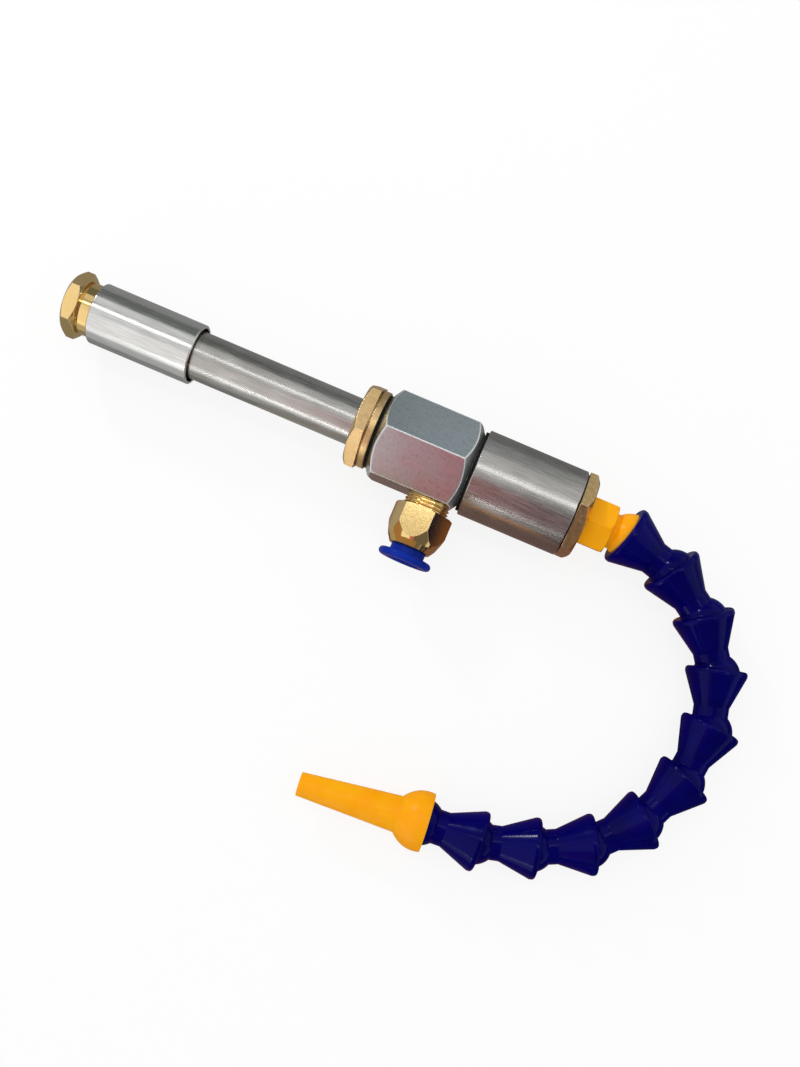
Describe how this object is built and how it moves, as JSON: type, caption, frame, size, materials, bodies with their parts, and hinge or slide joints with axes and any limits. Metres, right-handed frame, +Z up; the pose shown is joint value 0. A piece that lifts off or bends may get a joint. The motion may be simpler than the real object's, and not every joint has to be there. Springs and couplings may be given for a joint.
{
  "type": "vortex tube",
  "caption": "Vortex tube splitting compressed air into hot and cold streams: hexagonal body, push-in inlet, hot tube with muffler and valve plug, cold barrel, ball-jointed hose and nozzle.",
  "frame": {"origin": "on the tube's axis, at the middle of the cold barrel", "axes": "+X along the tube towards the cold end, +Z up with the tube lying on its body's lower edge, inlet fitting on the -Y side"},
  "size_m": [0.2299, 0.1228, 0.0294],
  "materials": {
    "brass": "machined",
    "steel": "brushed",
    "sleeve_steel": "polished",
    "body_alloy": "satin",
    "rubber": "matte",
    "navy_plastic": "gloss",
    "orange_plastic": "gloss, slightly translucent",
    "blue_plastic": "gloss"
  },
  "bodies": {
    "tube": {"end_bush": "brass", "muffler_sleeve": "sleeve_steel", "hot_tube": "steel", "tube_nut": "brass", "tube_gasket": "rubber", "hex_body": "body_alloy", "generator": "brass", "generator_ring": "rubber", "body_gasket": "rubber", "cold_barrel": "steel", "nut_gasket": "rubber", "cold_nut": "brass", "hose_adapter": "orange_plastic", "inlet_fitting": "brass", "tube_seal": "rubber", "grab_ring": "steel"},
    "valve_ring": {"valve_ring": "rubber"},
    "valve": {"valve_plug": "brass"},
    "release": {"release_ring": "blue_plastic"},
    "link_1": {"link_1": "navy_plastic"},
    "link_2": {"link_2": "navy_plastic"},
    "link_3": {"link_3": "navy_plastic"},
    "link_4": {"link_4": "navy_plastic"},
    "link_5": {"link_5": "navy_plastic"},
    "link_6": {"link_6": "navy_plastic"},
    "link_7": {"link_7": "navy_plastic"},
    "link_8": {"link_8": "navy_plastic"},
    "link_9": {"link_9": "navy_plastic"},
    "link_10": {"link_10": "navy_plastic"},
    "nozzle": {"nozzle": "orange_plastic"}
  },
  "joints": [
    {"name": "valve_travel", "type": "slide", "parent": "tube", "child": "valve_ring", "axis": [1, 0, 0], "range_m": [-0.002, 0.003]},
    {"name": "valve_turn", "type": "hinge", "parent": "valve_ring", "child": "valve", "pos_m": [-0.13345, 0, 0], "axis": [1, 0, 0], "range_deg": [-720, 1080]},
    {"name": "release_press", "type": "slide", "parent": "tube", "child": "release", "axis": [0, 1, 0], "range_m": [0, 0.0012], "stiffness_N_per_m": 200},
    {"name": "hose_1", "type": "hinge", "parent": "tube", "child": "link_1", "pos_m": [0.03408, 0, 0], "axis": [0, 0, -1], "range_deg": [-36.5, 7.5]},
    {"name": "hose_2", "type": "hinge", "parent": "link_1", "child": "link_2", "pos_m": [0.05044, -0.00423, -0.00184], "axis": [0, 0, -1], "range_deg": [-40, 4]},
    {"name": "hose_3", "type": "hinge", "parent": "link_2", "child": "link_3", "pos_m": [0.0647, -0.01331, -0.00368], "axis": [0, 0, -1], "range_deg": [-43.5, 0.5]},
    {"name": "hose_4", "type": "hinge", "parent": "link_3", "child": "link_4", "pos_m": [0.07463, -0.02698, -0.00552], "axis": [0, 0, -1], "range_deg": [-43.5, 0.5]},
    {"name": "hose_5", "type": "hinge", "parent": "link_4", "child": "link_5", "pos_m": [0.07889, -0.04344, -0.00552], "axis": [0, 0, -1], "range_deg": [-42.5, 1.5]},
    {"name": "hose_6", "type": "hinge", "parent": "link_5", "child": "link_6", "pos_m": [0.07711, -0.06035, -0.00552], "axis": [0, 0, -1], "range_deg": [-40, 4]},
    {"name": "hose_7", "type": "hinge", "parent": "link_6", "child": "link_7", "pos_m": [0.0702, -0.07588, -0.00552], "axis": [0, 0, -1], "range_deg": [-41.5, 2.5]},
    {"name": "hose_8", "type": "hinge", "parent": "link_7", "child": "link_8", "pos_m": [0.05849, -0.08821, -0.00552], "axis": [0, 0, -1], "range_deg": [-43, 1]},
    {"name": "hose_9", "type": "hinge", "parent": "link_8", "child": "link_9", "pos_m": [0.04315, -0.09553, -0.00552], "axis": [0, 0, -1], "range_deg": [-33, 11]},
    {"name": "hose_10", "type": "hinge", "parent": "link_9", "child": "link_10", "pos_m": [0.02669, -0.09979, -0.00552], "axis": [0, 0, -1], "range_deg": [-33.5, 10.5]},
    {"name": "hose_11", "type": "hinge", "parent": "link_10", "child": "nozzle", "pos_m": [0.00971, -0.10068, -0.00552], "axis": [0, 0, -1], "range_deg": [-19.5, 24.5]}
  ],
  "couplings": [
    {"joint": "valve_turn", "follows": "valve_travel", "rad_per_m": 6283.2}
  ]
}
